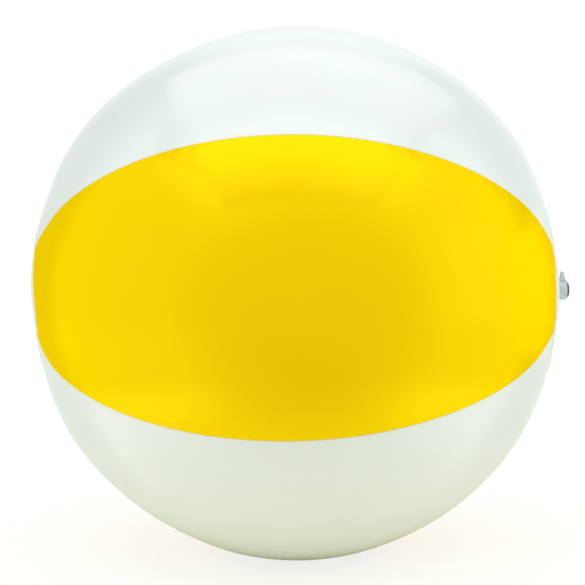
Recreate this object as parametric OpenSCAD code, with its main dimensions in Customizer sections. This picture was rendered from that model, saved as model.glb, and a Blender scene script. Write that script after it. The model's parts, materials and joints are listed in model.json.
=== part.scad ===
// Inflatable beach ball: six welded vinyl panels, a round cap over each end, and a soft push-in valve
// with a tethered stopper. The polar axis lies along X, with the valve at +X. The origin is on the
// ground, at the middle of the small flat spot that the ball's weight presses into its underside.

/* [Ball] */
// Diameter across the middle of the blown-up ball
ball_d = 260; // [200:1:400]
// How far each end is pulled in from a true sphere
pole_inset = 2.35; // [1:0.05:6]
// Angle from the pole at which the flatter end starts
shoulder_deg = 34; // [26:1:44]
// Thickness of the vinyl film
film_t = 0.25; // [0.15:0.01:0.5]
// Width of the welded hem that each panel turns inwards at a seam
hem_w = 3; // [2:0.1:6]
// How far the front panel's middle is rolled up from level
front_tilt = 7; // [6:0.5:12]
// Diameter of the flat spot that the ball rests on
rest_d = 24; // [12:0.5:26]

/* [End caps] */
// Diameter of the round cap over each end
cap_d = 83; // [64:0.5:100]
// Width of the ring where a cap is welded over the panel tips
cap_lap = 8; // [4:0.5:12]

/* [Valve] */
// Diameter of the flange welded inside the valve's cap
flange_d = 38; // [30:0.5:44]
// Thickness of the flange
flange_t = 0.6; // [0.4:0.05:1]
// Diameter of the flexible skirt, which is also the hole in the cap
skirt_d = 24; // [22:0.5:27]
// Thickness of the flexible skirt
skirt_t = 0.5; // [0.3:0.05:0.8]
// Outer diameter of the stem
stem_d = 9.7; // [9:0.1:11]
// Height of the stem's rim above the cap
stem_proud = 4; // [3.6:0.1:6]
// Length of the stem below the cap's outer face
stem_inside = 7; // [6:0.1:12]
// Diameter of the collar at the stem's foot
collar_d = 10.8; // [10.2:0.1:11.6]
// Height of the collar
collar_h = 1.4; // [1:0.1:1.8]
// Height of the collar's top above the cap
collar_proud = 0.9; // [0.6:0.1:1]
// Diameter of the bore that the stopper closes
mouth_d = 6.4; // [6:0.1:7]
// Diameter of the deeper bore that a pump nozzle seats in
throat_d = 5.2; // [4:0.1:5.6]
// Length of the deeper bore
throat_len = 4.8; // [3:0.1:5.5]

/* [Stopper and strap] */
// Thickness of the stopper's head
head_h = 2.5; // [1.5:0.1:4]
// Radius of the head's rounded edge
head_round = 2; // [0.5:0.1:2.4]
// Length of the plug below the head
plug_len = 5; // [3:0.1:5.2]
// Diameter of the plug's tip
plug_tip_d = 4.4; // [3:0.1:4.8]
// Bevel round the plug's tip
plug_bevel = 0.6; // [0.2:0.1:1]
// Width of the strap
strap_w = 4.5; // [3:0.1:6]
// Thickness of each arm of the folded strap
strap_t = 1; // [0.6:0.05:1.2]
// Distance from the valve's axis to the strap's fold
strap_reach = 8.8; // [8:0.1:9.6]
// Height of the strap's fold above the cap
fold_h = 3; // [2.4:0.1:3.2]
// Length of the flat ear at the strap's fold
ear_len = 1.7; // [1.2:0.1:2]
// Length of the slope between the ear and the valve
ear_slope = 0.9; // [0.5:0.1:1.2]
// Length of the upper arm's step beside the stopper's head
neck_len = 0.5; // [0.3:0.1:0.8]
// Thickness of the upper arm at the stopper's head
neck_t = 0.6; // [0.4:0.05:1]

/* [Check flap] */
// Diameter of the flap that closes the stem's inner end
flap_d = 8.8; // [7.6:0.1:9]
// Thickness of the flap
flap_t = 0.4; // [0.2:0.05:0.6]

/* [Fits] */
// Gap left between welded or touching faces
weld_gap = 0.02; // [0.01:0.01:0.05]
// Radial gap between the plug and the mouth at the rim
plug_gap = 0.15; // [0.12:0.01:0.3]

/* [Hidden] */
$fn = 96;

YELLOW = [0.98, 0.84, 0.05];
WHITE = [0.95, 0.96, 0.95];
CLEAR = [0.74, 0.80, 0.83, 0.75];

PANEL_COUNT = 6;
ball_r = ball_d / 2;
cap_r = cap_d / 2;
tip_r = cap_r - cap_lap;
skirt_r = skirt_d / 2;
stem_r = stem_d / 2;
mouth_r = mouth_d / 2;
panel_deg = 360 / PANEL_COUNT - weld_gap / ball_r * 180 / PI;

// Height of the ball's centre when it rests on its flat spot
ball_z = sqrt(ball_r * ball_r - rest_d * rest_d / 4);

// The flatter end is part of a larger sphere through the pole and the shoulder
pole_x = ball_r - pole_inset;
dome_x = (pole_x * pole_x - ball_r * ball_r) / (2 * (pole_x - ball_r * cos(shoulder_deg)));
dome_r = pole_x - dome_x;

// Distance along the polar axis to a layer of the end dome, at a distance from that axis
function dome_at(layer_r, from_axis) = dome_x + sqrt(layer_r * layer_r - from_axis * from_axis);

// The cap lies on the panel tips, and the flange lies inside the cap
cap_in_r = dome_r + weld_gap;
cap_out_r = cap_in_r + film_t;
cap_top = dome_x + cap_out_r;
rim_x = cap_top + stem_proud;
stem_in_x = cap_top - stem_inside;
stem_len = stem_inside + stem_proud;
fold_x = cap_top + fold_h;
ear_r = strap_reach - ear_len;
slope_r = ear_r - ear_slope;
collar_top = cap_top + collar_proud;

// Ball section and skin

// Half section of the solid ball, with its skin taken off to a given depth
module ball_section(depth) {
    intersection() {
        circle(r = ball_r - depth);
        translate([0, dome_x]) circle(r = dome_r - depth);
        translate([0, -dome_x]) circle(r = dome_r - depth);
        translate([tip_r, -ball_d / 2]) square([ball_d / 2, ball_d]);
    }
}

module skin_section() {
    difference() {
        ball_section(0);
        ball_section(film_t);
    }
}

module hem_section() {
    difference() {
        ball_section(film_t / 2);
        ball_section(film_t + hem_w);
    }
}

// Puts a shape drawn round the Z axis on the ball's polar axis, turned about it
module on_axis(turn = 0) {
    translate([0, 0, ball_z]) rotate([turn, 0, 0]) rotate([0, 90, 0]) children();
}

// A ring or disc of a given dome layer, between two distances from the polar axis
module dome_ring(outer_r, thickness, from_r, to_r) {
    rotate_extrude() intersection() {
        difference() {
            translate([0, dome_x]) circle(r = outer_r);
            translate([0, dome_x]) circle(r = outer_r - thickness);
        }
        translate([from_r, 0]) square([to_r - from_r, ball_d]);
    }
}

// Panels

module hem() {
    translate([0, film_t, 0]) rotate([90, 0, 0]) linear_extrude(film_t) hem_section();
}

// One panel: its film, and the hem turned inwards along each long edge
module panel(index) {
    on_axis(-90 - front_tilt - index * 360 / PANEL_COUNT) {
        rotate([0, 0, -panel_deg / 2]) rotate_extrude(angle = panel_deg) skin_section();
        for (side = [0, 1]) mirror([0, side, 0]) rotate([0, 0, -panel_deg / 2]) hem();
    }
}

// The film pressed flat under the ball
module rest_flat() {
    intersection() {
        translate([0, 0, ball_z]) sphere(r = ball_r - film_t / 2);
        translate([-rest_d, -rest_d, 0]) cube([2 * rest_d, 2 * rest_d, film_t]);
    }
}

module above_ground() {
    translate([-ball_d, -ball_d, 0]) cube(2 * ball_d);
}

module front_yellow_panel() {
    color(YELLOW) panel(0);
}

module top_white_panel() {
    color(WHITE) panel(1);
}

module rear_yellow_panel() {
    color(YELLOW) panel(2);
}

module back_white_panel() {
    color(WHITE) panel(3);
}

module bottom_yellow_panel() {
    color(YELLOW) {
        intersection() {
            panel(4);
            above_ground();
        }
        rest_flat();
    }
}

module lower_white_panel() {
    color(WHITE) panel(5);
}

// End caps

module valve_end_cap() {
    color(WHITE) on_axis() dome_ring(cap_out_r, film_t, skirt_r, cap_r);
}

module plain_end_cap() {
    color(WHITE) on_axis() mirror([0, 0, 1]) dome_ring(cap_out_r, film_t, 0, cap_r);
}

// Valve

module valve_flange() {
    color(CLEAR) on_axis() dome_ring(dome_r, flange_t, skirt_r, flange_d / 2);
}

// Thin cone between the flange and the stem's collar, which turns inside out when the valve is pushed in
module valve_skirt() {
    outer_r = skirt_r - weld_gap;
    outer_top = dome_at(dome_r, outer_r);
    inner_r = collar_d / 2 + weld_gap;
    color(CLEAR) on_axis() rotate_extrude() polygon([
        [outer_r, outer_top - skirt_t],
        [outer_r, outer_top],
        [inner_r, collar_top],
        [inner_r, collar_top - skirt_t],
    ]);
}

module valve_stem() {
    color(CLEAR) on_axis() difference() {
        union() {
            translate([0, 0, stem_in_x]) cylinder(r = stem_r, h = stem_len);
            translate([0, 0, collar_top - collar_h]) cylinder(d = collar_d, h = collar_h);
        }
        translate([0, 0, stem_in_x + throat_len]) cylinder(r = mouth_r, h = stem_len);
        translate([0, 0, stem_in_x - stem_len]) cylinder(d = throat_d, h = 2 * stem_len);
    }
}

// Stopper and strap

// Extrudes a strap arm, drawn as [distance from the axis, height along the axis], across the strap's width
module strap_band(points) {
    on_axis() rotate([90, 0, 180]) translate([0, 0, -strap_w / 2]) linear_extrude(strap_w) polygon(points);
}

// Clears the stem and the stopper's head out of a strap arm
module beside_stem() {
    difference() {
        children();
        on_axis() translate([0, 0, stem_in_x]) cylinder(r = stem_r + weld_gap, h = 2 * stem_len);
    }
}

// The lower arm, moulded on the stem's side, which ends at the fold
module strap_root() {
    top = fold_x - weld_gap;
    bottom = fold_x - strap_t;
    color(CLEAR) beside_stem() strap_band([
        [0, collar_top + weld_gap],
        [slope_r, collar_top + weld_gap],
        [ear_r, bottom],
        [strap_reach, bottom],
        [strap_reach, top],
        [0, top],
    ]);
}

// The upper arm, which swings with the stopper
module strap_arm() {
    bottom = fold_x + weld_gap;
    top = fold_x + strap_t;
    neck_r = stem_r + neck_len;
    neck_bottom = rim_x + weld_gap;
    neck_top = neck_bottom + neck_t;
    color(CLEAR) beside_stem() strap_band([
        [0, neck_bottom],
        [neck_r, neck_bottom],
        [slope_r, bottom],
        [strap_reach, bottom],
        [strap_reach, top],
        [ear_r, top],
        [neck_r, neck_top],
        [0, neck_top],
    ]);
}

// Domed head and tapered plug in one moulding: the taper lets it swing out of the mouth
module stopper() {
    bottom = rim_x + weld_gap;
    top = bottom + head_h;
    plug_r = mouth_r - plug_gap;
    tip_r = plug_tip_d / 2;
    tip_x = bottom - plug_len;
    color(CLEAR) on_axis() rotate_extrude() difference() {
        polygon([
            [0, top],
            [stem_r, top],
            [stem_r, bottom],
            [plug_r, bottom],
            [tip_r, tip_x + plug_bevel],
            [tip_r - plug_bevel, tip_x],
            [0, tip_x],
        ]);
        translate([stem_r - head_round, top - head_round]) difference() {
            square(2 * head_round);
            circle(r = head_round);
        }
    }
}

// Check flap

module check_flap() {
    color(CLEAR) on_axis() translate([0, 0, stem_in_x - weld_gap - flap_t]) cylinder(d = flap_d, h = flap_t);
}

front_yellow_panel();
top_white_panel();
rear_yellow_panel();
back_white_panel();
bottom_yellow_panel();
lower_white_panel();
valve_end_cap();
plain_end_cap();
valve_flange();
valve_skirt();
valve_stem();
strap_root();
strap_arm();
stopper();
check_flap();
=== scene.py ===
import json
import math

import bmesh
import bpy
from mathutils import Matrix, Vector


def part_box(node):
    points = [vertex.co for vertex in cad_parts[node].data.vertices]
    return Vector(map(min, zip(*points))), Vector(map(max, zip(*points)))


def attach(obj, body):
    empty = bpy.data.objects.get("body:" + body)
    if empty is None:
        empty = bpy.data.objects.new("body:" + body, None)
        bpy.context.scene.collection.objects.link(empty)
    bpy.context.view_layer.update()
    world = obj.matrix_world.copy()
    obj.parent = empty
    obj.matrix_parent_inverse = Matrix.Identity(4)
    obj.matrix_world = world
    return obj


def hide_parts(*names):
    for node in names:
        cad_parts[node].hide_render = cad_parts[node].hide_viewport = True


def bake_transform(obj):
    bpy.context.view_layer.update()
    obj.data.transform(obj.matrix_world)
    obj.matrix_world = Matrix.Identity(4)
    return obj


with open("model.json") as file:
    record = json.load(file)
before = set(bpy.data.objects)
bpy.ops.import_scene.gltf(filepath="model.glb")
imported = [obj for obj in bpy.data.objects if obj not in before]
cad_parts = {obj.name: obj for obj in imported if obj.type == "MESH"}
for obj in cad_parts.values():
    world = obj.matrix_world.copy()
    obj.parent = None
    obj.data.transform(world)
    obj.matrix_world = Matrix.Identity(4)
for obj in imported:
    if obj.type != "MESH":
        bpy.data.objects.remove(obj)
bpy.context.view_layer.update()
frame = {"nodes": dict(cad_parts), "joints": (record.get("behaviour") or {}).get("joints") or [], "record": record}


# Panels
# Six gores cut from glossy calendered vinyl film, yellow and white in turn. Each turns a hem inwards
# at its long edges, where it is welded to its neighbour, so only a fine line shows at a seam.

MM = 0.001
pump_bore = next(mount for mount in frame["record"]["mounts"] if mount["name"] == "pump_bore")
ball_height = pump_bore["pos_m"][2]
ball_radius = 130 * MM
film_wall = 0.25 * MM
weld_gap = 0.02 * MM
cap_radius = 41.5 * MM
cap_lap = 8 * MM
panel_count = 6
front_tilt = math.radians(7)

# Past its shoulder, the film runs to the pole on a dome with a centre of its own
shoulder_angle = math.radians(34)
shoulder_x = ball_radius * math.cos(shoulder_angle)
cap_apex = -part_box("plain_end_cap")[0].x
pole_x = cap_apex - film_wall - weld_gap
dome_centre = (pole_x**2 - ball_radius**2) / (2 * (pole_x - shoulder_x))
dome_radius = pole_x - dome_centre

yellow_ink = (0.92, 0.616, 0.001, 1)
yellow_thin_ink = (0.90, 0.59, 0.001, 1)
yellow_glint = (1, 0.98, 0.02, 1)
white_ink = (0.765, 0.81, 0.775, 1)
white_thin_ink = (0.74, 0.77, 0.715, 1)


class Wire:
    """One socket of a node tree. Sums and products of wires write their own Math nodes."""

    def __init__(self, socket):
        self.socket = socket

    def node(self, kind, settings, values, out=0):
        """One output of a new node: its settings come first, then the values or wires of its sockets."""
        tree = self.socket.id_data
        made = tree.nodes.new(kind)
        for name, setting in settings.items():
            setattr(made, name, setting)
        for place, value in values.items():
            if isinstance(value, Wire):
                tree.links.new(value.socket, made.inputs[place])
            else:
                made.inputs[place].default_value = value
        return Wire(made.outputs[out])

    def math(self, operation, *others):
        return self.node("ShaderNodeMath", {"operation": operation}, dict(enumerate((self, *others))))

    def vector(self, operation, *others, out="Vector"):
        values = dict(enumerate((self, *others)))
        return self.node("ShaderNodeVectorMath", {"operation": operation}, values, out)

    def noise(self, scale, detail):
        return self.node("ShaderNodeTexNoise", {}, {"Vector": self, "Scale": scale, "Detail": detail})

    def part(self, axis):
        return self.node("ShaderNodeSeparateXYZ", {}, {0: self}, axis)

    def ease(self, low, high):
        """Rises smoothly from 0 at low to 1 at high."""
        return self.node("ShaderNodeMapRange", {"interpolation_type": "SMOOTHSTEP"},
                         {0: self, 1: low, 2: high})

    def between(self, low, high):
        """Low where this wire is 0, high where it is 1."""
        return (1 - self) * low + self * high

    def tint(self, low, high):
        """The colour low where this wire is 0, the colour high where it is 1."""
        return self.node("ShaderNodeMix", {"data_type": "RGBA"}, {0: self, 6: low, 7: high}, 2)

    def __add__(self, other):
        return self.math("ADD", other)

    def __sub__(self, other):
        return self.math("SUBTRACT", other)

    def __rsub__(self, other):
        return self.math("MULTIPLY_ADD", -1, other)

    def __mul__(self, other):
        return self.math("MULTIPLY", other)

    def __truediv__(self, other):
        return self.math("DIVIDE", other)

    def __abs__(self):
        return self.math("ABSOLUTE")

    __radd__ = __add__
    __rmul__ = __mul__


def new_tree(name, sizes):
    """A Geometry Nodes tree with a named input for each size, and the wires of those inputs."""
    tree = bpy.data.node_groups.new(name, "GeometryNodeTree")
    for size in sizes:
        tree.interface.new_socket(size, in_out="INPUT", socket_type="NodeSocketFloat")
    tree.interface.new_socket("Material", in_out="INPUT", socket_type="NodeSocketMaterial")
    tree.interface.new_socket("Geometry", in_out="OUTPUT", socket_type="NodeSocketGeometry")
    entry = tree.nodes.new("NodeGroupInput")
    return tree, [Wire(entry.outputs[size]) for size in (*sizes, "Material")]


def end_tree(tree, surface, finish):
    """Shades a tree's surface smooth, makes it real, and gives it its material."""
    surface = surface.node("GeometryNodeSetShadeSmooth", {}, {"Geometry": surface})
    surface = surface.node("GeometryNodeRealizeInstances", {}, {"Geometry": surface})
    surface = surface.node("GeometryNodeSetMaterial", {}, {"Geometry": surface, "Material": finish})
    tree.links.new(surface.socket, tree.nodes.new("NodeGroupOutput").inputs["Geometry"])


def grow(name, tree, sizes, finish, wall):
    """A plain mesh from a tree, with the thickness of its wall put on the inside."""
    piece = bpy.data.objects.new(name, bpy.data.meshes.new(name))
    bpy.context.scene.collection.objects.link(piece)
    shape = piece.modifiers.new("shape", "NODES")
    shape.node_group = tree
    for size, value in {**sizes, "Material": finish}.items():
        shape[tree.interface.items_tree[size].identifier] = value
    thickness = piece.modifiers.new("wall", "SOLIDIFY")
    thickness.thickness = wall
    thickness.offset = -1
    evaluated = piece.evaluated_get(bpy.context.evaluated_depsgraph_get())
    mesh = bpy.data.meshes.new_from_object(evaluated)
    piece.modifiers.clear()
    piece.data = mesh
    return piece


def puckers(angle, from_axis):
    """Height of the small radial puckers that the weld draws up round an end cap."""
    pucker_height = 0.07 * MM
    pucker_reach = 17 * MM
    pucker_count = 46
    drift_sway = 9
    drift_gain = 1.6
    round_axis = angle.node("ShaderNodeCombineXYZ", {}, {0: angle.math("COSINE"), 1: angle.math("SINE")})
    drift = round_axis.noise(scale=2.6, detail=1)
    wave = (angle * pucker_count + drift * drift_sway).math("SINE")
    outside = 1 - from_axis.ease(cap_radius, cap_radius + pucker_reach)
    inside = from_axis.ease(cap_radius - cap_lap, cap_radius)
    return wave * outside * inside * (drift * drift_gain) * pucker_height


def swell(outwards):
    """Height of the soft swells that show in the ball's outline, for a direction from its middle."""
    # Compass angle in the XZ plane, lean along Y, spread in degrees, height
    swells = (
        (140, -0.13, 25, 1.15 * MM),
        (170, -0.20, 15, 1.2 * MM),
        (45, -0.13, 25, 0.8 * MM),
        (270, -0.13, 25, 0.5 * MM),
        (234, -0.13, 25, -0.6 * MM),
        (115, -0.13, 25, -0.6 * MM),
        (2, -0.35, 12, 1.2 * MM),
    )
    heights = []
    for compass, lean, spread, height in swells:
        middle = Vector((math.cos(math.radians(compass)), lean, math.sin(math.radians(compass))))
        nearness = outwards.vector("DOT_PRODUCT", middle.normalized(), out="Value")
        heights.append(nearness.ease(math.cos(math.radians(spread)), 1) * height)
    return sum(heights[1:], heights[0])


def panel_tree():
    """A panel on a grid: X runs from pole to pole, and Y across the panel and down its two hems."""
    sizes = ("Ball Radius", "Dome Radius", "Dome Centre", "Ball Height", "Tip Angle", "Panel Angle",
             "Turn", "Hem Width", "Seam Round")
    tree, wires = new_tree("welded_panel", sizes)
    ball, dome, centre, height, tip_angle, panel_angle, turn, hem_width, seam_round, finish = wires
    rows = 170
    film_columns = 76
    hem_columns = 6
    columns = film_columns + 2 * hem_columns
    film_share = film_columns / columns
    seam_crowding = 1.6
    shoulder_blend = 1.2 * MM
    seam_dip = 0.06 * MM
    seam_dip_width = 6 * MM
    unevenness = 0.16 * MM
    flat_blend = 0.25 * MM

    grid = turn.node("GeometryNodeMeshGrid", {}, {
        "Size X": 2, "Size Y": 2, "Vertices X": rows + 1, "Vertices Y": columns + 1})
    place = turn.node("GeometryNodeInputPosition", {}, {})
    along = place.part("X")
    across = place.part("Y")

    latitude = along * tip_angle
    up_axis = latitude.math("SINE")
    off_axis = latitude.math("COSINE")
    dome_reach = (dome * dome - (centre * off_axis).math("POWER", 2)).math("SQRT")
    radius = ball.math("SMOOTH_MIN", centre * abs(up_axis) + dome_reach, shoulder_blend)
    from_axis = radius * off_axis

    # Half of a hem's columns turn the film inwards at the seam, and the other half run down the hem
    film_part = (abs(across) / film_share).math("MINIMUM", 1)
    towards_seam = 1 - (1 - film_part).math("POWER", seam_crowding)
    hem_part = (abs(across) - film_share).math("MAXIMUM", 0) / (1 - film_share)
    bend = (hem_part * 2).math("MINIMUM", 1) * (math.pi / 2)
    sideways = seam_round * bend.math("SINE")
    depth = seam_round * (1 - bend.math("COSINE")) + (hem_part * 2 - 1).math("MAXIMUM", 0) * hem_width
    half_angle = panel_angle / 2 - (seam_round + weld_gap / 2) / from_axis
    angle = turn - across.math("SIGN") * (towards_seam * half_angle + sideways / from_axis)
    to_seam = (1 - towards_seam) * half_angle * from_axis

    outwards = turn.node("ShaderNodeCombineXYZ", {}, {
        0: up_axis, 1: off_axis * angle.math("COSINE"), 2: off_axis * angle.math("SINE")})
    ripple = outwards.noise(scale=2.4, detail=1)
    radius = radius + swell(outwards) + (ripple - 0.5) * (2 * unevenness)
    radius = radius - (1 - to_seam.ease(0, seam_dip_width)) * seam_dip
    radius = radius + puckers(angle, from_axis) - depth

    x = up_axis * radius
    y = off_axis * angle.math("COSINE") * radius
    z = (off_axis * angle.math("SINE") * radius + height).math("SMOOTH_MAX", 0, flat_blend)
    seat = turn.node("ShaderNodeCombineXYZ", {}, {0: x, 1: y, 2: z})
    surface = turn.node("GeometryNodeStoreNamedAttribute", {"data_type": "FLOAT", "domain": "POINT"},
                        {"Geometry": grid, "Name": "to_seam", "Value": to_seam})
    surface = turn.node("GeometryNodeSetPosition", {}, {"Geometry": surface, "Position": seat})
    end_tree(tree, surface, finish)
    return tree


def new_finish(name):
    """A material, the skin that it starts with, and the place on a piece that wears it."""
    finish = bpy.data.materials.new(name)
    finish.use_nodes = True
    tree = finish.node_tree
    place = Wire(tree.nodes.new("ShaderNodeTexCoord").outputs["Object"])
    return finish, tree.nodes["Principled BSDF"], place


def dress(skin, wires, values):
    """Gives a skin what changes over the surface, and then what is the same all over it."""
    for socket, wire in wires.items():
        skin.id_data.links.new(wire.socket, skin.inputs[socket])
    for socket, value in values.items():
        skin.inputs[socket].default_value = value


def film_finish(name, ink, thin_ink, gloss):
    """Glossy film: faintly cloudy colour, a polish that varies, and a duller line along each weld."""
    cloud_share, weld_share = 0.5, 0.2
    polish, streak_dullness, weld_dullness = 0.08, 0.05, 0.05
    weld_edge, weld_reach = 0.4 * MM, 3 * MM
    grain_height = 0.0025 * MM
    pucker_height, pucker_step, pucker_sway = 0.05 * MM, 9 * MM, 5
    pucker_start, pucker_reach = 1.5 * MM, 11 * MM
    finish, skin, place = new_finish(name)
    cloud = place.noise(scale=16, detail=3)
    streak = place.noise(scale=140, detail=2)
    grain = place.noise(scale=1500, detail=2)
    to_seam = place.node("ShaderNodeAttribute", {"attribute_name": "to_seam"}, {}, "Fac")
    weld_line = 1 - to_seam.ease(weld_edge, weld_reach)
    colour = (cloud.ease(0.35, 0.75) * cloud_share + weld_line * weld_share).tint(ink, thin_ink)
    roughness = streak * streak_dullness + weld_line * weld_dullness + polish
    pucker = (place.part("X") * (2 * math.pi / pucker_step) + streak * pucker_sway).math("SINE")
    pucker = pucker * (1 - to_seam.ease(0, pucker_reach)) * to_seam.ease(0, pucker_start)
    relief = place.node("ShaderNodeBump", {}, {
        "Strength": 1, "Distance": 1, "Height": grain * grain_height + pucker * pucker_height})
    dress(skin, {"Base Color": colour, "Roughness": roughness, "Normal": relief}, gloss)
    return finish


def second_skin(finish, share, shared, settings):
    """Mixes a second skin over a film's own. Its share follows from how far the film is seen edge on."""
    tree = finish.node_tree
    own = tree.nodes["Principled BSDF"]
    second = tree.nodes.new("ShaderNodeBsdfPrincipled")
    dress(second, {socket: Wire(own.inputs[socket].links[0].from_socket) for socket in shared}, settings)
    facing = Wire(tree.nodes.new("ShaderNodeLayerWeight").outputs["Facing"])
    mixed = facing.node("ShaderNodeMixShader", {}, {
        0: share(facing), 1: Wire(own.outputs[0]), 2: Wire(second.outputs[0])})
    tree.links.new(mixed.socket, tree.nodes["Material Output"].inputs["Surface"])


def yellow_gloss_share(facing):
    """A gloss that fades where the film is seen edge on."""
    gloss_ior = 1.7
    fade_start, fade_end = 0.45, 0.9
    gloss = facing.node("ShaderNodeFresnel", {}, {"IOR": gloss_ior})
    return gloss * (1 - facing.ease(fade_start, fade_end))


def white_dull_share(facing):
    """A dull skin that takes over where the film is seen edge on."""
    fade_start, fade_end = 0.55, 0.95
    return facing.ease(fade_start, fade_end)


# The yellow's gloss has the pigment's own colour, and the white's is clear but dull edge on
yellow_film = film_finish("yellow_vinyl_film", yellow_ink, yellow_thin_ink, {
    "Metallic": 0.12, "Specular IOR Level": 0, "Specular Tint": yellow_glint})
second_skin(yellow_film, yellow_gloss_share, ("Roughness", "Normal"), {
    "Base Color": yellow_glint, "Specular Tint": yellow_glint, "Metallic": 1})
white_film = film_finish("white_vinyl_film", white_ink, white_thin_ink, {
    "IOR": 1.53, "Specular IOR Level": 0.65})
second_skin(white_film, white_dull_share, ("Base Color", "Normal"), {"Specular IOR Level": 0})
welded_panel = panel_tree()
tip_radius = cap_radius - cap_lap
tip_angle = math.atan2(dome_centre + math.sqrt(dome_radius**2 - tip_radius**2), tip_radius)
panel_sizes = {
    "Ball Radius": ball_radius, "Dome Radius": dome_radius, "Dome Centre": dome_centre,
    "Ball Height": ball_height, "Tip Angle": tip_angle, "Panel Angle": 2 * math.pi / panel_count,
    "Hem Width": 3 * MM, "Seam Round": 0.2 * MM,
}
panel_names = ("front_yellow", "top_white", "rear_yellow", "back_white", "bottom_yellow", "lower_white")
for index, name in enumerate(panel_names):
    turn = math.pi - front_tilt - index * 2 * math.pi / panel_count
    film, slot = (white_film, "white_vinyl") if "white" in name else (yellow_film, "yellow_vinyl")
    panel = grow(name + "_film", welded_panel, {**panel_sizes, "Turn": turn}, film, film_wall)
    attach(panel, "ball")
    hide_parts(name + "_panel")


# End caps
# A round of white film over the panel tips at each end, welded down in a pressed ring of fine ribs.
# The cap at the valve has a hole in its middle for the valve's flexible skirt.

def cap_tree():
    """A round of film on a polar grid: X runs outwards from the middle, and Y round it."""
    sizes = ("Side", "Hole Radius", "Cap Radius", "Cap Lap", "Dome Centre", "Layer Radius", "Ball Height")
    tree, wires = new_tree("end_cap", sizes)
    side, hole, rim, lap, centre, layer, height, finish = wires
    rows = 64
    rib_count = 120
    rib_steps = 6
    rib_height = 0.05 * MM
    press_depth = 0.10 * MM
    press_edge = 0.8 * MM
    edge_round = 0.5 * MM
    edge_drop = film_wall * 0.9
    join_distance = 0.001 * MM

    grid = side.node("GeometryNodeMeshGrid", {}, {
        "Size X": 1, "Size Y": 2 * math.pi,
        "Vertices X": rows + 1, "Vertices Y": rib_count * rib_steps + 1})
    place = side.node("GeometryNodeInputPosition", {}, {})
    share = place.part("X") + 0.5
    angle = place.part("Y") * side
    from_axis = hole + (rim - hole) * share

    ring_in = rim - lap + edge_round
    ring_out = rim - 2 * edge_round
    ring = (from_axis.ease(ring_in, ring_in + press_edge)
            * (1 - from_axis.ease(ring_out - press_edge, ring_out)))
    ribs = (angle * rib_count).math("SINE")
    edge = from_axis.ease(rim - edge_round, rim)
    lift = puckers(angle, from_axis) + ring * (ribs * rib_height - press_depth) - edge * edge_drop
    x = (centre + (layer * layer - from_axis * from_axis).math("SQRT") + lift) * side
    y = angle.math("COSINE") * from_axis
    z = angle.math("SINE") * from_axis
    seat = side.node("ShaderNodeCombineXYZ", {}, {0: x, 1: y, 2: z})
    outwards = seat.vector("NORMALIZE")
    rise = side.node("ShaderNodeCombineXYZ", {}, {2: height})
    seat = seat.vector("ADD", outwards.vector("MULTIPLY_ADD", swell(outwards), rise))
    to_seam = (rim - lap - from_axis).math("MAXIMUM", 0)
    surface = side.node("GeometryNodeStoreNamedAttribute", {"data_type": "FLOAT", "domain": "POINT"},
                        {"Geometry": grid, "Name": "to_seam", "Value": to_seam})
    surface = side.node("GeometryNodeSetPosition", {}, {"Geometry": surface, "Position": seat})
    surface = side.node("GeometryNodeMergeByDistance", {}, {"Geometry": surface, "Distance": join_distance})
    end_tree(tree, surface, finish)
    return tree


end_cap = cap_tree()
skirt_radius = 12 * MM
cap_sizes = {
    "Cap Radius": cap_radius, "Cap Lap": cap_lap, "Dome Centre": dome_centre,
    "Layer Radius": dome_radius + weld_gap + film_wall, "Ball Height": ball_height,
}
for name, side, hole in (("valve_end_cap", 1, skirt_radius), ("plain_end_cap", -1, 0)):
    sizes = {**cap_sizes, "Side": side, "Hole Radius": hole}
    cap = grow(name + "_film", end_cap, sizes, white_film, film_wall)
    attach(cap, "ball")
    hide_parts(name)


# Valve flange
# The flat ring of the valve moulding, welded under the cap round its hole. It is soft clear vinyl
# with a blue-grey tint, like the rest of the valve, and it is seen only from inside the ball.

def clear_finish(name, ink, clearness):
    """Soft moulded vinyl: partly clear, with a satin skin and a faint flow pattern."""
    satin, satin_spread = 0.14, 0.12
    milkiness = 0.94
    milky = tuple(milkiness * level for level in ink[:3]) + (1,)
    finish, skin, place = new_finish(name)
    flow = place.noise(scale=420, detail=3)
    grain = place.noise(scale=3200, detail=2)
    colour = flow.ease(0.35, 0.7).tint(ink, milky)
    relief = place.node("ShaderNodeBump", {}, {"Strength": 0.3, "Distance": 0.02 * MM, "Height": grain})
    dress(skin, {"Base Color": colour, "Roughness": flow * satin_spread + satin, "Normal": relief},
          {"IOR": 1.5, "Transmission Weight": clearness})
    return finish


valve_ink = (0.82, 0.88, 0.92, 1)
clear_vinyl = clear_finish("clear_soft_vinyl", valve_ink, clearness=0.3)
flange = frame["nodes"]["valve_flange"]
flange.data.materials.clear()
flange.data.materials.append(clear_vinyl)


# Valve skirt
# A thin cone of the same moulding between the flange and the stem. It turns inside out when the
# valve is pushed into the ball, so it follows the ball at its rim and the stem at its collar.

def finished(name, shape, finish):
    """A piece from a finished shape: smooth but for its sharper edges, in its material."""
    crease_angle = math.radians(38)
    mesh = bpy.data.meshes.new(name)
    shape.to_mesh(mesh)
    shape.free()
    mesh.materials.append(finish)
    mesh.shade_smooth()
    mesh.set_sharp_from_angle(angle=crease_angle)
    piece = bpy.data.objects.new(name, mesh)
    bpy.context.scene.collection.objects.link(piece)
    return piece


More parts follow.
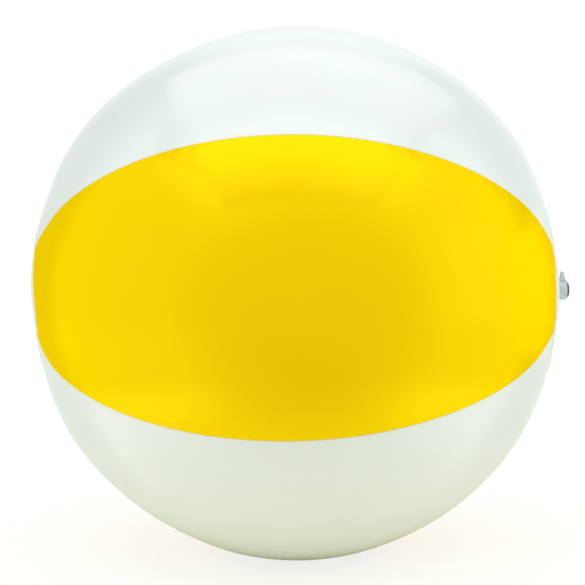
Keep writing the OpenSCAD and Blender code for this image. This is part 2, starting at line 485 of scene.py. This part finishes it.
def turned(name, section, finish):
    """A closed section of (x, distance from the axis) points, turned about the ball's polar axis."""
    turn_steps = 96
    join_distance = 0.0001 * MM
    shape = bmesh.new()
    rings = []
    for step in range(turn_steps):
        angle = 2 * math.pi * step / turn_steps
        across, up = math.cos(angle), math.sin(angle)
        rings.append([shape.verts.new((x, r * across, ball_height + r * up)) for x, r in section])
    corners = list(zip(range(len(section)), [*range(1, len(section)), 0]))
    for ring, following in zip(rings, [*rings[1:], rings[0]]):
        for a, b in corners:
            if section[a][1] > 0 or section[b][1] > 0:
                shape.faces.new((ring[a], ring[b], following[b], following[a]))
    bmesh.ops.remove_doubles(shape, verts=shape.verts, dist=join_distance)
    bmesh.ops.recalc_face_normals(shape, faces=shape.faces)
    return finished(name, shape, finish)


collar_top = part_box("valve_skirt")[1].x
collar_radius = 5.4 * MM
skirt_wall = 0.3 * MM
skirt_foot = dome_centre + math.sqrt(dome_radius**2 - skirt_radius**2)
skirt_steps = 20
skirt_face = []
for step in range(skirt_steps + 1):
    share = step / skirt_steps
    rise = share * share * (3 - 2 * share)
    skirt_face.append((skirt_foot + (collar_top - skirt_foot) * rise,
                       skirt_radius + (collar_radius - skirt_radius) * share))
skirt_back = [(x - skirt_wall, r) for x, r in reversed(skirt_face)]
skirt = turned("valve_skirt_cone", skirt_face + skirt_back, clear_vinyl)
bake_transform(skirt)
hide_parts("valve_skirt")


# Valve stem
# A short tube of the same soft moulding, with a collar at the skirt's upper end. Its mouth takes the
# stopper, and the narrower throat below takes a pump's nozzle.

def rounded(corners):
    """The outline through (x, y, rounding) corners, with an arc of that radius at each of them."""
    outline = []
    arc_steps = 6
    for index, (x, y, rounding) in enumerate(corners):
        here = Vector((x, y))
        back = Vector(corners[index - 1][:2]) - here
        ahead = Vector(corners[(index + 1) % len(corners)][:2]) - here
        if rounding == 0:
            outline.append((x, y))
            continue
        half = back.angle(ahead) / 2
        middle = here + (back.normalized() + ahead.normalized()).normalized() * (rounding / math.sin(half))
        start = here + back.normalized() * (rounding / math.tan(half)) - middle
        sweep = start.angle_signed(here + ahead.normalized() * (rounding / math.tan(half)) - middle)
        for step in range(arc_steps + 1):
            turned_by = Matrix.Rotation(-sweep * step / arc_steps, 2)
            outline.append(tuple(middle + turned_by @ start))
    return outline


stem_low, stem_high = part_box("valve_stem")
stem_radius = 4.85 * MM
mouth_radius = 3.2 * MM
throat_radius = 2.6 * MM
throat_length = 4.8 * MM
throat_end = stem_low.x + throat_length
collar_depth = 1.4 * MM
collar_foot = collar_top - collar_depth
stem = turned("valve_stem_tube", rounded([
    (stem_low.x, throat_radius, 0.15 * MM),
    (stem_low.x, stem_radius, 0.3 * MM),
    (collar_foot, stem_radius, 0.1 * MM),
    (collar_foot, collar_radius, 0.15 * MM),
    (collar_top, collar_radius, 0.25 * MM),
    (collar_top, stem_radius, 0.2 * MM),
    (stem_high.x, stem_radius, 0.15 * MM),
    (stem_high.x, mouth_radius, 0.25 * MM),
    (throat_end, mouth_radius, 0.15 * MM),
    (throat_end, throat_radius, 0.15 * MM),
]), clear_vinyl)
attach(stem, "valve")
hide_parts("valve_stem")


# Stopper
# A domed head with a tapered plug under it, moulded in one. It seals the stem's mouth, and the taper
# lets it swing out on its strap. The thick edge of the clear dome is painted dark: a painted shade for its dark
# rim.

def paint_dome_rim_shade(finish, start, full):
    """Paints shade into a clear vinyl's colour between two places on X, paler round the polar axis: the dome's
    painted dark rim.
    """
    painted_shade_ink = (0.018, 0.022, 0.026, 1)
    pale_radius, rim_shade_radius = 1.3 * MM, 3.1 * MM
    pale_share = 0.12
    tree = finish.node_tree
    skin = tree.nodes["Principled BSDF"]
    plain = Wire(skin.inputs["Base Color"].links[0].from_socket)
    place = Wire(tree.nodes.new("ShaderNodeTexCoord").outputs["Object"])
    above = place.part("Z") - ball_height
    off_axis = (place.part("Y").math("POWER", 2) + above.math("POWER", 2)).math("SQRT")
    edge_share = off_axis.ease(pale_radius, rim_shade_radius).between(pale_share, 1)
    # Painted shade: the dome's thick rim is darkened towards a near-black ink
    rim_shade_mask = place.part("X").ease(start, full) * edge_share
    dress(skin, {"Base Color": rim_shade_mask.tint(plain, painted_shade_ink)}, {})


stopper_low, stopper_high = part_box("stopper")
plug_clearance = 0.15 * MM
plug_radius = mouth_radius - plug_clearance
plug_tip_radius = 2.2 * MM
head_foot = stem_high.x + weld_gap
head_radius = 4.75 * MM
head_side = 0.7 * MM
crown_drop = 0.3 * MM
crown_radius = 2.8 * MM
# Where the painted shade on the dome's rim starts and where it is full
rim_shade_start = stopper_high.x - 1.7 * MM
rim_shade_full = stopper_high.x - 1.4 * MM
stopper_ink = (0.80, 0.845, 0.87, 1)
stopper_vinyl = clear_finish("clear_stopper_vinyl", stopper_ink, clearness=0.25)
paint_dome_rim_shade(stopper_vinyl, rim_shade_start, rim_shade_full)
stopper = turned("stopper_plug", rounded([
    (stopper_low.x, 0, 0),
    (stopper_low.x, plug_tip_radius, 0.6 * MM),
    (head_foot, plug_radius, 0.12 * MM),
    (head_foot, head_radius, 0.12 * MM),
    (head_foot + head_side, head_radius, 0.6 * MM),
    (stopper_high.x - crown_drop, crown_radius, 1.1 * MM),
    (stopper_high.x, 0, 0),
]), stopper_vinyl)
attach(stopper, "stopper")
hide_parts("stopper")


# Strap
# A short soft band moulded between the stem's side and the stopper's head. It lies folded back on
# itself, and the fold is the hinge that the stopper swings on.

swing = next(joint for joint in frame["joints"] if joint["name"] == "stopper_swing")
fold_x = swing["pos_m"][0]
strap_reach = swing["pos_m"][2] - ball_height
strap_width = 4.5 * MM
strap_wall = 0.78 * MM
fold_slot = 0.06 * MM
fold_wall = 0.55 * MM
root_slope = strap_reach - 2.6 * MM
arm_slope = strap_reach - 1.9 * MM
neck_wall = 0.6 * MM
neck_reach = stem_radius + 0.15 * MM
strap_inner = stem_radius - 0.2 * MM
strap_seat = stem_radius + 0.08 * MM
root_reach = strap_seat + 0.05 * MM
strap_outline = rounded([
    (collar_top, strap_inner, 0),
    (collar_top, root_reach, 0),
    (fold_x - strap_wall, root_slope, 0.5 * MM),
    (fold_x - strap_wall, strap_reach, 0.35 * MM),
    (fold_x + strap_wall, strap_reach, 0.35 * MM),
    (fold_x + strap_wall, arm_slope, 0.5 * MM),
    (head_foot + neck_wall, neck_reach, 0.1 * MM),
    (head_foot + neck_wall, strap_inner, 0),
    (head_foot, strap_inner, 0),
    (head_foot, strap_seat, 0),
    (fold_x + fold_slot, strap_seat, 0),
    (fold_x + fold_slot, strap_reach - fold_wall, 0.05 * MM),
    (fold_x - fold_slot, strap_reach - fold_wall, 0.05 * MM),
    (fold_x - fold_slot, strap_inner, 0),
])
# Across its width, the underside of the band follows the round of the stem
band_steps = 12
band = bmesh.new()
band_rows = []
for step in range(band_steps + 1):
    across = strap_width * (step / band_steps - 0.5)
    row = []
    for x, r in strap_outline:
        height = math.sqrt(r**2 - across**2) if r <= strap_seat else r
        row.append(band.verts.new((x, across, ball_height + height)))
    band_rows.append(row)
for row, following in zip(band_rows, band_rows[1:]):
    for index, corner in enumerate(row):
        band.faces.new((row[index - 1], corner, following[index], following[index - 1]))
band.faces.new(band_rows[0])
band.faces.new(band_rows[-1])
bmesh.ops.recalc_face_normals(band, faces=band.faces)
strap = finished("stopper_strap", band, clear_vinyl)
fold_x - fold_slot
fold_x + fold_slot
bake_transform(strap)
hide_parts("strap_root", "strap_arm")


# Check flap
# A thin disc of clear film inside the ball, held at its upper edge. The air pressure shuts it over
# the stem's inner end.

flap_ink = (0.74, 0.80, 0.83, 1)
flap_film = clear_finish("clear_flap_film", flap_ink, clearness=0.7)
flap = frame["nodes"]["check_flap"]
flap.data.materials.clear()
flap.data.materials.append(flap_film)


# Studio
# A pale round of paper floor in a tent of softly glowing cloth, under a large soft light and a long
# light bar. The cloth is brighter at the sides and below the floor, and dimmer behind the ball,
# overhead and about the lens. The camera looks through the tent at a white backdrop.

floor_radius = 0.24
tent_radius = 1.6
tent_bottom, tent_top = -1, 1.9
stage_segments = 96
softbox_rise, bar_rise = 0.9, 0.88
# The left, right, front and back edges of a lamp, and how far its light fades inside each of them
softbox_edges, softbox_fades = (-0.61, 0.82, -1.0, 0.95), (0.1, 0.35, 0.55, 0.5)
bar_edges, bar_fades = (-1.0, 1.15, -1.05, -0.05), (0.45, 0.5, 0.7, 0.25)
white = (1, 1, 1, 1)
paper_ink = (0.98, 0.94, 0.66, 1)
upper_cloth = (0.97, 1, 0.98, 1)
lower_cloth = (1, 0.98, 0.75, 1)
lamp_tint = (0.99, 1, 1.05, 1)


def shown_rays(tree):
    """1 for the rays that show the background: the camera's, mirrored ones and those through vinyl."""
    rays = tree.nodes.new("ShaderNodeLightPath")
    camera, glossy, through = (
        Wire(rays.outputs[name]) for name in ("Is Camera Ray", "Is Glossy Ray", "Is Transmission Ray"))
    return camera.math("MAXIMUM", through).math("MAXIMUM", glossy)


def stage_piece(name, shape, surface, camera_sees=True):
    """A piece of the studio. Its shader comes from a function of the place on it."""
    mesh = bpy.data.meshes.new(name)
    shape.to_mesh(mesh)
    shape.free()
    finish = bpy.data.materials.new(name + "_finish")
    finish.use_nodes = True
    finish.node_tree.nodes.clear()
    output = finish.node_tree.nodes.new("ShaderNodeOutputMaterial")
    place = Wire(finish.node_tree.nodes.new("ShaderNodeTexCoord").outputs["Object"])
    finish.node_tree.links.new(surface(place).socket, output.inputs["Surface"])
    mesh.materials.append(finish)
    piece = bpy.data.objects.new(name, mesh)
    piece.visible_camera = camera_sees
    piece.visible_transmission = camera_sees
    bpy.context.scene.collection.objects.link(piece)


def floor_surface(place):
    """Pale paper that fades out. It is mixed with white for the rays that show it, and keeps the shadow."""
    lift = 1.05
    white_share = 0.75
    fade_start = 0.025
    matte = place.node("ShaderNodeBsdfDiffuse", {}, {"Color": paper_ink})
    glow = place.node("ShaderNodeEmission", {}, {"Color": white, "Strength": lift})
    shown = shown_rays(place.socket.id_data)
    paper = place.node("ShaderNodeMixShader", {}, {0: shown * white_share, 1: matte, 2: glow})
    clear = place.node("ShaderNodeBsdfTransparent", {}, {})
    faded = place.vector("LENGTH", out="Value").ease(fade_start, floor_radius)
    return place.node("ShaderNodeMixShader", {}, {0: faded, 1: paper, 2: clear})


def tent_surface(place):
    """Cloth whose light changes smoothly from one stretch of the tent to the next."""
    front_light, front_high_light = 0.94, 1.31
    left_light, left_high_light = 1.12, 1.02
    right_light, right_high_light = 1.4, 1.2
    left_reach, right_reach = 0.1, 0.42
    rear_low_light, rear_level_light = 0.6, 0.48
    rear_high_light, rear_mid_light = 0.26, 1.0
    under_light, under_side_light = 1.22, 1.68
    roof_light, opening_light = 0.46, 0.66
    opening_heading = Vector((0.17, -0.98, -0.05)).normalized()
    opening_angle, opening_core = math.radians(62), math.radians(22)

    # Heights are in metres, and places across and back are shares of the tent's radius
    across = place.part("X") / tent_radius
    depth = place.part("Y") / tent_radius
    rise = place.part("Z")
    bottom = 1 - rise.ease(-0.95, -0.6)
    below = 1 - rise.ease(-0.25, 0)
    level = rise.ease(-0.2, 0.1)
    belt = rise.ease(-0.4, -0.2) * (1 - rise.ease(0.25, 0.5))
    high = rise.ease(0.4, 1.1)
    front_high = rise.ease(0.5, 1.5)
    roof = rise.ease(tent_top - 0.02, tent_top)
    to_right = across.ease(-0.1, 0.1)
    side = abs(across).ease(0.45, 0.95)
    under_side = abs(across).ease(0.35, 0.75) * bottom
    rear_mid = depth.ease(0.9, 0.99)
    behind = (depth - belt * to_right.between(left_reach, right_reach)).ease(0.2, 0.6)

    front = front_high.between(front_light, front_high_light)
    sides = high.between(to_right.between(left_light, right_light),
                         to_right.between(left_high_light, right_high_light))
    under = under_side.between(under_light, under_side_light)
    around = below.between(side.between(front, sides), under)
    rear = high.between(level.between(rear_low_light, rear_level_light),
                        rear_mid.between(rear_high_light, rear_mid_light))
    cloth = roof.between(behind.between(around, rear), roof_light)
    heading = place.vector("SUBTRACT", (0, 0, ball_height)).vector("NORMALIZE")
    facing = heading.vector("DOT_PRODUCT", opening_heading, out="Value")
    opening = facing.ease(math.cos(opening_angle), math.cos(opening_core))
    cool = rise.ease(-0.3, 0.3).math("MAXIMUM", abs(across).ease(0.1, 0.6))
    return place.node("ShaderNodeEmission", {}, {
        "Color": cool.tint(lower_cloth, upper_cloth), "Strength": opening.between(cloth, opening_light)})


def lamp_glow(place, edges, fades):
    """1 on the face of a lamp, fading to 0 along its edges."""
    left, right, front, back = edges
    left_fade, right_fade, front_fade, back_fade = fades
    across, ahead = place.part("X"), place.part("Y")
    return (across.ease(left, left + left_fade)
            * (1 - across.ease(right - right_fade, right))
            * ahead.ease(front, front + front_fade)
            * (1 - ahead.ease(back - back_fade, back)))


def softbox_surface(place):
    """Brightest in the middle. Its left edge is crisp, and the others fade."""
    rim_light, middle_light = 0.7, 1.16
    light = lamp_glow(place, softbox_edges, softbox_fades).between(rim_light, middle_light)
    return place.node("ShaderNodeEmission", {}, {"Color": lamp_tint, "Strength": light})


def bar_surface(place):
    """A long soft bar. It fades on all sides, and adds its light to that of what is behind it."""
    bar_light = 1.05
    light = lamp_glow(place, bar_edges, bar_fades) * bar_light
    glow = place.node("ShaderNodeEmission", {}, {"Color": lamp_tint, "Strength": light})
    clear = place.node("ShaderNodeBsdfTransparent", {}, {})
    return place.node("ShaderNodeAddShader", {}, {0: glow, 1: clear})


floor = bmesh.new()
bmesh.ops.create_circle(floor, segments=stage_segments, radius=floor_radius, cap_ends=True)
stage_piece("floor", floor, floor_surface)
tent = bmesh.new()
bmesh.ops.create_cone(
    tent, segments=stage_segments, radius1=tent_radius, radius2=tent_radius, depth=tent_top - tent_bottom,
    cap_ends=True, matrix=Matrix.Translation((0, 0, (tent_top + tent_bottom) / 2)))
stage_piece("studio_tent", tent, tent_surface, camera_sees=False)
for name, surface, (left, right, front, back), rise in (
        ("softbox", softbox_surface, softbox_edges, softbox_rise),
        ("light_bar", bar_surface, bar_edges, bar_rise)):
    lamp = bmesh.new()
    lamp.faces.new([lamp.verts.new((x, y, ball_height + rise)) for x, y in (
        (left, front), (left, back), (right, back), (right, front))])
    stage_piece(name, lamp, surface, camera_sees=False)

room = bpy.data.worlds.new("studio_room")
room.use_nodes = True
backdrop = room.node_tree.nodes["Background"]
room.node_tree.links.new(shown_rays(room.node_tree).socket, backdrop.inputs["Strength"])
backdrop.inputs["Color"].default_value = white
bpy.context.scene.world = room
bpy.context.scene.view_settings.view_transform = "Standard"


# Camera
# A long lens at nearly the ball's own height, a little above its middle and a little towards the
# valve. Its shift puts the ball's middle where the photograph has it, and its roll is slight.

frame_pixels = 585
focal_pixels = 1576.4
ball_pixel = (296.0, 292.8)
camera_distance = 0.7797
camera_azimuth = math.radians(2.02)
camera_elevation = math.radians(5.87)
camera_roll = math.radians(-0.84)
sensor_width = 36

lens = bpy.data.cameras.new("camera")
lens.sensor_width = sensor_width
lens.lens = focal_pixels / frame_pixels * sensor_width
lens.shift_x = (frame_pixels / 2 - ball_pixel[0]) / frame_pixels
lens.shift_y = (ball_pixel[1] - frame_pixels / 2) / frame_pixels
camera = bpy.data.objects.new("camera", lens)
aim = (Matrix.Rotation(camera_azimuth, 4, "Z") @ Matrix.Rotation(math.pi / 2 - camera_elevation, 4, "X")
       @ Matrix.Rotation(camera_roll, 4, "Z"))
camera.matrix_world = (Matrix.Translation((0, 0, ball_height)) @ aim
                       @ Matrix.Translation((0, 0, camera_distance)))
bpy.context.scene.collection.objects.link(camera)
bpy.context.scene.camera = camera
